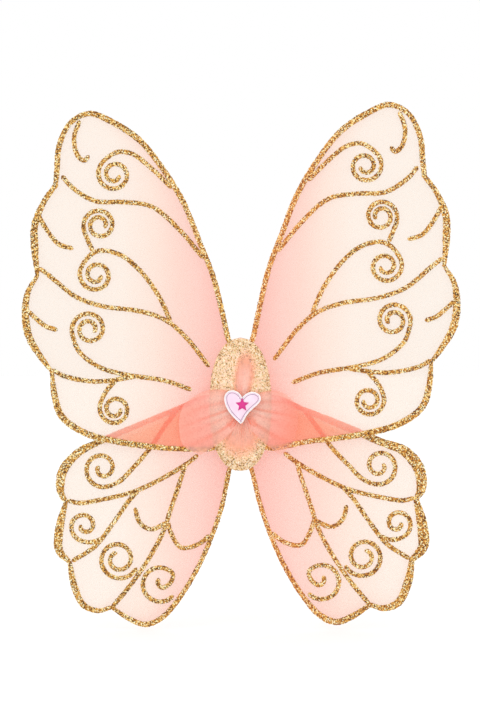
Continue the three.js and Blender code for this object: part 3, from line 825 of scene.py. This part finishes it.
def oval_radius(x, z):
    """0 in the pad's middle and 1 on its rim."""
    n = PAD_SQUARENESS
    return (np.abs(x / PAD_WIDE) ** n + np.abs(z / PAD_TALL) ** n) ** (1 / n)


def dome_depth(x, z):
    r = np.clip(oval_radius(x, z), 0, 1)
    return SHOULDER_DEPTH + (PAD_FRONT - SHOULDER_DEPTH) * np.sqrt(1 - r**3)


def pad_mesh():
    """The cover as a closed form: a domed front, a straight side and a flat back."""
    spokes, rings = 64, 14
    angle = circle(spokes)
    n = PAD_SQUARENESS
    reach = (np.abs(np.cos(angle)) ** n + np.abs(np.sin(angle)) ** n) ** (-1 / n)
    x, z = PAD_WIDE * reach * np.cos(angle), PAD_TALL * reach * np.sin(angle)
    inset = 0.6 * MM
    rows = []
    for share in np.sin(np.linspace(0, math.pi / 2, rings + 1)[1:]):
        px, pz = x * share * (1 - inset / PAD_WIDE), z * share * (1 - inset / PAD_TALL)
        rows.append(np.column_stack([px, -dome_depth(px, pz) + COVER_SET_BACK, pz]))
    side = rows[-1].copy()
    for depth in np.linspace(SHOULDER_DEPTH, PAD_BACK, 5)[1:]:
        side = side.copy()
        side[:, 1] = -depth
        rows.append(side)
    rows.append(side * [0.5, 1, 0.5])
    verts, faces = swept(np.array(rows), capped=False)
    verts = np.vstack([verts, [0, -PAD_FRONT + COVER_SET_BACK, 0], [0, -PAD_BACK, 0]])
    front, back = len(verts) - 2, len(verts) - 1
    last = (len(rows) - 1) * spokes
    faces += [(front, (j + 1) % spokes, j) for j in range(spokes)]
    faces += [(back, last + j, last + (j + 1) % spokes) for j in range(spokes)]
    return verts, faces


def puff(piece, pinned, pressure=4.0, cap=1.6 * MM, frames=20):
    """Blows the piece up a little with a cloth simulation and keeps the result."""
    group = piece.vertex_groups.new(name="held")
    group.add([int(i) for i in pinned], 1.0, "REPLACE")
    rest = coordinates(piece)
    cloth = piece.modifiers.new("puff", "CLOTH")
    settings = cloth.settings
    settings.use_pressure = True
    settings.uniform_pressure_force = pressure
    settings.vertex_group_mass = "held"
    settings.effector_weights.gravity = 0
    settings.quality = 6
    settings.tension_stiffness = 25
    cloth.point_cache.frame_start, cloth.point_cache.frame_end = 1, frames
    scene = bpy.context.scene
    for frame_number in range(1, frames + 1):
        scene.frame_set(frame_number)
    evaluated = piece.evaluated_get(bpy.context.evaluated_depsgraph_get())
    moved = coordinates(evaluated) - rest
    far = np.linalg.norm(moved, axis=1)
    moved *= np.minimum(1, cap / np.maximum(far, 1e-9))[:, None]
    piece.modifiers.remove(cloth)
    scene.frame_set(1)
    move_to(piece, rest + moved)


def cover_relief(points, radius):
    """Gathers round the badge, the crease above it, and a fine grain, in millimetres."""
    angle = np.arctan2(points[:, 2], points[:, 0])
    pucker = bell(radius, 0.28, 0.35) * np.sin(angle * 17 + 2 * np.sin(angle * 3))
    crease = bell(points[:, 0], 2.6 * MM) * rising(points[:, 2], 0, 30 * MM) * (radius < 0.95)
    flat = points[:, [0, 2]]
    grain = wobble(flat, 1.6 * MM, 5.0) * 0.12 + wobble(flat, 7 * MM, 6.0) * 0.35
    return 0.3 * pucker - 0.5 * crease + grain


def add_cover(material):
    piece = face_outward(new_piece("pad_cover", *pad_mesh()))
    points = coordinates(piece)
    radius = oval_radius(points[:, 0], points[:, 2])
    held = (points[:, 1] > -SHOULDER_DEPTH - 0.5 * MM) | (radius < 0.16)
    puff(piece, np.flatnonzero(held))
    finer = piece.modifiers.new("finer", "SUBSURF")
    finer.levels = finer.render_levels = 2
    bpy.context.view_layer.update()
    evaluated = piece.evaluated_get(bpy.context.evaluated_depsgraph_get())
    piece.data = bpy.data.meshes.new_from_object(evaluated)
    piece.modifiers.clear()
    points = coordinates(piece)
    radius = oval_radius(points[:, 0], points[:, 2])
    front = rising(-points[:, 1], SHOULDER_DEPTH, 3 * MM)
    points[:, 1] -= front * np.maximum(cover_relief(points, radius), DEEPEST_CREASE) * MM
    move_to(piece, points)
    set_attribute(piece, "rim", rising(radius, 0.72, 0.25))
    piece.data.materials.append(material)
    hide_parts("front_cover")
    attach(piece, "pad")


def add_cover_flakes(material, rng, count=1000):
    """Loose flakes that catch the light, thickest along the pad's rim."""
    parts = []
    while len(parts) < count:
        x, z = rng.uniform(-PAD_WIDE, PAD_WIDE), rng.uniform(-PAD_TALL, PAD_TALL)
        r = oval_radius(x, z)
        if r > 0.985 or rng.random() > 0.05 + 0.95 * r**5:
            continue
        centre = np.array([x, -dome_depth(x, z) - 0.5 * MM, z])
        normal = rng.normal(0, 0.35, 3) + [1.2 * x / PAD_WIDE * r**4, -1, 1.2 * z / PAD_TALL * r**4]
        normal /= np.linalg.norm(normal)
        first = np.cross(normal, [0, 0, 1])
        first /= np.linalg.norm(first)
        second = np.cross(normal, first)
        size = rng.uniform(0.3, 0.6) * MM
        turn = circle(6) + rng.uniform(0, 1)
        face = centre + size * (np.cos(turn)[:, None] * first + np.sin(turn)[:, None] * second)
        parts.append(swept(np.array([face, face - normal * 0.06 * MM])))
    piece = solid("pad_flakes", joined(parts), material, smooth_shading=False)
    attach(piece, "pad")


def add_felt_stitches(material, count=64):
    """Running stitches round the felt and a bar of tacks beside each slit."""
    parts = []
    for i in range(count):
        ends = [rim_point(360 * (i + t) / count, "right", -3) for t in (0.1, 0.35, 0.6)]
        points = [(x, h * MM, z) for (x, z), h in zip(ends, (0.0, 0.35, 0.0))]
        parts.append(tube(smooth(points, 5), 0.28 * MM, 6))
    for node in (f"loop_end_{end}_{side}" for side in SIDES for end in ("top", "bottom")):
        low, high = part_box(node)
        inward = 1 if high[2] < 0 else -1
        z = (low[2] if high[2] < 0 else high[2]) + inward * 4 * MM
        for x in np.linspace(low[0] + 0.8 * MM, high[0] - 0.8 * MM, 9):
            points = [(x, 0, z), (x + 0.4 * MM, 0.4 * MM, z + 1.2 * MM), (x, 0, z + 2.4 * MM)]
            parts.append(tube(smooth(points, 5), 0.26 * MM, 6))
    piece = solid("felt_stitches", joined(parts), material)
    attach(piece, "pad")


# ---------- veil

# Each piece of net runs from its inner line, under the badge, through its middle line to its outer
# line. Points are (x, z) in millimetres. "depth" is the strength of the pleats and "reach" how far
# out they last; "cover" is how much light the net stops, and one that "fades" thins out at its rim.
VEIL_FANS = {
    "left": {
        "inner": [(-9, 11), (-11, 4), (-8, -5), (-4, -11), (0, -14)],
        "middle": [(-29, 19), (-33, 3), (-31, -14), (-24, -27), (-14, -33)],
        "outer": [(-50, -1), (-53, -11), (-53, -23), (-50, -35), (-35, -44)],
        "pleats": 5, "depth": 0.8, "reach": 0.85, "cover": 0.62,
    },
    "right": {
        "inner": [(13, 9), (14, 4), (10, -4), (6, -10), (3, -14)],
        "middle": [(28, 14), (34, 5), (33, -10), (26, -24), (16, -32)],
        "outer": [(36, 11), (46, 3), (50, -14), (46, -32), (35, -44)],
        "pleats": 5, "depth": 0.8, "reach": 0.85, "cover": 0.6, "soft_end": 0.6,
    },
    "down": {
        "inner": [(-6, -7), (-2, -12), (1.5, -15), (5, -12), (9, -6)],
        "middle": [(-19, -16), (-10, -28), (1, -32), (12, -28), (21, -15)],
        "outer": [(-24, -27), (-15, -42), (0, -49), (14, -42), (25, -26)],
        "pleats": 14, "depth": 1, "reach": 0.5, "cover": 0.5, "fades": True,
    },
    "up": {
        "inner": [(-4, 9), (1.5, 6), (7, 9)],
        "middle": [(-8, 22), (3, 28), (14, 22)],
        "outer": [(-6, 38), (5, 50), (17, 38)],
        "pleats": 1.5, "depth": 1, "reach": 0.5, "cover": 0.68, "fades": True,
    },
}


def veil_depth(x, z):
    """How far in front of the felt the net lies."""
    resting = -PLANES["upper"] + 3.4 * MM
    over_pad = dome_depth(x, z) + 0.9 * MM
    return np.where(oval_radius(x, z) < 1, np.maximum(over_pad, resting), resting)


def fan_plan(fan, s, across):
    """Where the net lies in x and z: a curved surface between its three lines."""
    lines = []
    for key in ("inner", "middle", "outer"):
        line = smooth(fan[key], 40)
        share = np.linspace(0, 1, len(line))
        at = np.linspace(0, 1, across)
        lines.append(np.column_stack([np.interp(at, share, line[:, k]) for k in (0, 1)]) * MM)
    inner, middle, outer = lines
    return (1 - s) ** 2 * inner + 2 * s * (1 - s) * middle + s**2 * outer


def add_veil_fan(name, fan, material, along=34, across=121):
    s = np.linspace(0, 1, along)[:, None]
    t = np.linspace(-1, 1, across)[None, :]
    plan = fan_plan(fan, s[:, :, None], across)
    x, z = plan[:, :, 0], plan[:, :, 1]
    pleat = np.sin(math.pi * fan["pleats"] * (t + 0.12 * np.sin(4 * t)) + 0.6 * s)
    pleat = pleat * fan["depth"] * (0.7 + 0.3 * np.sin(11 * t + 1.5))
    fading = bell(s, fan["reach"])
    swell = 1.3 * MM * bell(s, 0.22, 0.25) + 0.45 * MM * (1 - s) + 0.2 * MM
    y = -(veil_depth(x, z) + swell * (1 + 0.4 * pleat * fading) * np.minimum(1, s / 0.2))
    rows = np.stack([x, y, z], axis=2)
    piece = new_piece(f"veil_{name}", *swept(rows, closed_ring=False))
    gathered = fan["cover"] * (0.8 + 0.5 * bell(s, 0.55)) * (1 - 0.3 * t**8)
    gathered = gathered * (1 - fan.get("soft_end", 0) * s**4)
    if fan.get("fades"):
        gathered = gathered * falling(s, 1, 0.45) * falling(np.abs(t), 1, 0.6)
    set_attribute(piece, "gathered", gathered.ravel())
    # Painted shade of the pleats: low in their valleys, high on their ridges, fading as the pleats
    # do.
    set_attribute(piece, "fold", np.clip(0.55 + (0.45 * fading + 0.06) * pleat, 0, 1).ravel())
    piece.data.materials.append(material)
    piece.visible_shadow = False
    return piece, rows


def add_veil(material):
    for name, fan in VEIL_FANS.items():
        piece, rows = add_veil_fan(name, fan, material)
        if name in SIDES:
            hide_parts(f"veil_end_{name}")
            bend_with_wing(piece, "upper", name)
        else:
            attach(piece, "pad")
        if name == "down":
            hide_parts("veil_gather")


# ---------- badge


def bezier(points, count):
    a, b, c, d = np.array(points, float)
    t = np.linspace(0, 1, count, endpoint=False)[:, None]
    return (1 - t) ** 3 * a + 3 * (1 - t) ** 2 * t * b + 3 * (1 - t) * t**2 * c + t**3 * d


def heart_outline(per_curve=14):
    """Six curves from the tip, clockwise; each has two handles and ends where the next begins."""
    drawn = [
        (1.3, -17.5), (-5, -12.5), (-12.5, -5.5), (-14, 3.5), (-14.7, 9), (-11.5, 12.6),
        (-7.4, 12.6), (-3.5, 12.6), (0.4, 10), (1.4, 6.2), (4, 10), (8.5, 12),
        (12.3, 11), (16.5, 10), (18.6, 7), (17.2, 3.2), (15, -1.6), (6, -4), (1.3, -17.5),
    ]
    starts = range(0, len(drawn) - 1, 3)
    return np.vstack([bezier(drawn[i : i + 4], per_curve) for i in starts]) * MM


def distance_to_outline(points, outline, step):
    return distance_to(points, spaced(np.vstack([outline, outline[:1]]), step))


def shrunk(outline, inset):
    """A clockwise outline moved inwards, without the points that a sharp corner folds over."""
    moved = outline - across_closed(outline) * inset
    return moved[distance_to_outline(moved, outline, 0.2 * MM) > inset * 0.93]


def badge_cushion(outline):
    """A heart with a flat back, straight sides and a face that swells in from its edge."""
    points, faces = fill(outline, 1.3 * MM)
    rise = 1 - np.exp(-distance_to_outline(points, outline, 0.4 * MM) / BADGE_ROUNDING)
    y = BADGE_RIM - BADGE_SWELL * rise + 0.06 * MM * wobble(points, 5 * MM, 2.0)
    top = np.column_stack([points[:, 0], y, points[:, 1]])
    base = np.column_stack([points[:, 0], np.full(len(points), BADGE_REAR), points[:, 1]])
    count = len(points)
    edges = {(a, b): True for f in faces for a, b in zip(f, f[1:] + f[:1])}
    rim = [(a, b) for a, b in edges if (b, a) not in edges]
    all_faces = [f[::-1] for f in faces] + [tuple(i + count for i in f) for f in faces]
    all_faces += [(a, b, b + count, a + count) for a, b in rim]
    return np.vstack([top, base]), all_faces


def add_badge(satin, piping, ink, motif):
    outline = shrunk(heart_outline(), 0.7 * MM)
    cushion = badge_cushion(shrunk(outline, 0.35 * MM))
    ring = closed_tube(outline, (BADGE_FRONT + BADGE_REAR) / 2 + 0.3 * MM, 0.7 * MM, 2.0)
    swell_there = BADGE_SWELL * (1 - math.exp(-1.25 * MM / BADGE_ROUNDING))
    stitched = closed_tube(shrunk(outline, 1.6 * MM), BADGE_RIM - swell_there, 0.22 * MM, 1.0)
    star = star_mesh((1.5, 0), 6, BADGE_RIM - BADGE_SWELL)
    for name, mesh, material, slot, node in (
        ("badge_face", cushion, satin, "satin", "badge_satin"),
        ("badge_piping", ring, piping, "trim", "badge_edge"),
        ("badge_inset_line", stitched, ink, "trim", None),
        ("badge_star", star, motif, "motif", "badge_motif"),
    ):
        piece = solid(name, mesh, material)
        if node:
            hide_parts(node)
        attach(piece, "pad")


def closed_tube(outline, y, radius, flatten, sides=10):
    """A tube along a closed outline, `flatten` times as deep as it is wide."""
    angle = circle(sides)
    across = across_closed(outline) * radius
    rings = around_line(outline, across, np.cos(angle), y + radius * flatten * np.sin(angle))
    verts, faces = swept(np.vstack([rings, rings[:1]]), capped=False)
    count = len(outline) * sides
    return verts[:count], [tuple(i % count for i in face) for face in faces]


def star_mesh(centre, radius, front, points=5, waist=0.48):
    """A five-pointed star with faceted arms."""
    count = 2 * points
    angle = math.pi / 2 + math.pi * np.arange(count) / points
    reach = np.where(np.arange(count) % 2, radius * waist, radius) * MM
    x, z = centre[0] * MM + reach * np.cos(angle), centre[1] * MM + reach * np.sin(angle)
    raised = np.column_stack([x, np.full(count, front - 0.15 * MM), z])
    sunk = raised + [0, 0.45 * MM, 0]
    peak = np.array([centre[0] * MM, front - 0.7 * MM, centre[1] * MM])
    faces = [(i, (i + 1) % count, 2 * count) for i in range(count)]
    faces += [((i + 1) % count, i, i + count, (i + 1) % count + count) for i in range(count)]
    faces.append(tuple(range(count, 2 * count)))
    return np.vstack([raised, sunk, peak]), faces


# ---------- arm loops


def loop_path(start, span, far, seam_y, seam_z):
    """The strap's middle line in (y, z): from one seam, out and round, and back to the other."""
    angle = np.linspace(math.pi / 2, -math.pi / 2, 61)
    bow = np.column_stack([start + (far - start) * np.cos(angle), span * np.sin(angle)])
    straight = [(seam_y + (start - seam_y) * t, span) for t in (0.04, 0.15, 0.35, 0.6, 0.85)]
    seam = [(seam_y, seam_z + 0.5 * MM), (seam_y, (seam_z + span) / 2), (seam_y, span - 1.5 * MM)]
    top = [*seam, *straight]
    return np.vstack([top, bow, [(y, -z) for y, z in top[::-1]]])


def add_arm_loop(side, material):
    """One length of ribbed elastic, from its seam in the pad, out and round, and back in."""
    low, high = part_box(f"arm_loop_{side}")
    tab_low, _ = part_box(f"loop_end_top_{side}")
    middle, half_width = (low[0] + high[0]) / 2, (high[0] - low[0]) / 2
    half = WEBBING_THICKNESS / 2
    line = loop_path(low[1], high[2] - half, high[1] - half, tab_low[1] + half, tab_low[2])
    out = left_of(unit(np.gradient(line, axis=0)))
    across = np.linspace(-1, 1, 21)
    thickness = half - RIB_DEPTH + RIB_DEPTH * np.cos(across * math.pi * 5)
    places, heights = np.r_[across, across[::-1]], np.r_[thickness, -thickness]
    rings = around_line(line, out, heights, middle + places * half_width)[:, :, [1, 0, 2]]
    piece = solid(f"elastic_loop_{side}", swept(rings), material)
    set_attribute(piece, "along", np.repeat(lengths_along(line), len(places)))
    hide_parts(f"arm_loop_{side}", f"loop_end_top_{side}", f"loop_end_bottom_{side}")
    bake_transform(piece)


# ---------- pieces that keep their CAD shape


def dress(nodes, material):
    for name in nodes:
        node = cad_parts[name]
        node.data.materials.clear()
        node.data.materials.append(material)


# ---------- stage


def add_stage():
    world = bpy.data.worlds.new("white_room")
    world.use_nodes = True
    sky = world.node_tree.nodes["Background"]
    sky.inputs["Color"].default_value = (1, 1, 1, 1)
    sky.inputs["Strength"].default_value = 1.0
    bpy.context.scene.world = world
    bpy.context.scene.view_settings.view_transform = "Standard"

    floor_z = CAD_BOX[0][2] - 3 * MM
    corners = [(-1, -1), (1, -1), (1, 1), (-1, 1)]
    floor = new_piece("floor", [(30 * x, 30 * y, floor_z) for x, y in corners], [(0, 1, 2, 3)])
    look = Look("pale_floor")
    paper = surface(look, (0.5, 0.5, 0.5, 1), 0.9)
    glow = look.node("Emission", Color=(1, 1, 1, 1), Strength=0.5)
    both = look.shaders("AddShader", paper, glow)
    floor.data.materials.append(look.finish(both))


def add_light(name, place, size, power):
    data = bpy.data.lights.new(name, "AREA")
    data.size = size
    data.energy = power
    light = new_object(name, data)
    light.location = place
    light.rotation_euler = (-Vector(place)).to_track_quat("-Z", "Y").to_euler()


PICTURE_HEIGHT = 0.6264  # what the picture's long side spans at the wings
CAMERA_DISTANCE = 2.0
CAMERA_HEIGHT = 38.7 * MM


def add_camera():
    data = bpy.data.cameras.new("front")
    data.sensor_width = 36
    data.lens = data.sensor_width * (CAMERA_DISTANCE + PLANES["upper"]) / PICTURE_HEIGHT
    data.clip_start, data.clip_end = 0.05, 100
    camera = new_object("front", data)
    camera.location = (-0.4 * MM, -CAMERA_DISTANCE, CAMERA_HEIGHT)
    camera.rotation_euler = (math.pi / 2, 0, 0)
    bpy.context.scene.camera = camera


# ---------- assembly

add_camera()
add_stage()
add_light("key", (-0.9, -1.6, 1.3), 0.5, 5)
add_light("rim", (1.2, 1.4, 1.0), 0.6, 2)
add_light("spark", (0.7, -1.3, 0.5), 0.12, 0.8)

rng = np.random.default_rng(11)
wire_coat = plain_grain("coated_wire", (246, 236, 226), (232, 222, 212), 0.002, 0.4)
for kind in WINGS:
    sheer = wing_mesh_material(kind)
    for side in SIDES:
        gold = bpy.data.materials.get(f"gold_glitter_{side}") or line_glitter(side)
        add_sheet(kind, side, sheer)
        add_wire(kind, side, wire_coat)
        add_glitter(kind, side, gold, rng)
        if kind == "lower":
            add_loose_coils(side, gold, rng)

add_cover(cover_material())
add_cover_flakes(bpy.data.materials["gold_glitter_left"], rng)
add_veil(veil_material())
add_badge(
    satin_material(),
    thread_material("white_piping", (252, 250, 252)),
    thread_material("grey_thread", (140, 130, 150)),
    thread_material("magenta_thread", (222, 44, 140)),
)
elastic = webbing_material()
for side in SIDES:
    add_arm_loop(side, elastic)
add_felt_stitches(thread_material("coral_thread", (236, 128, 108)))

dress(["back_felt", "badge_backing"], felt_material("coral_felt", (246, 158, 136)))
board = plain_grain("grey_board", (214, 206, 190), (198, 190, 172), 0.003, 0.9)
dress(["stiffener_board"], board)
foam = plain_grain("foam", (246, 240, 226), (232, 224, 206), 0.0015, 0.9)
dress(["foam_spacer", "foam_dome"], foam)
dress([f"root_wire_{kind}_{side}" for kind in WINGS for side in SIDES], wire_coat)
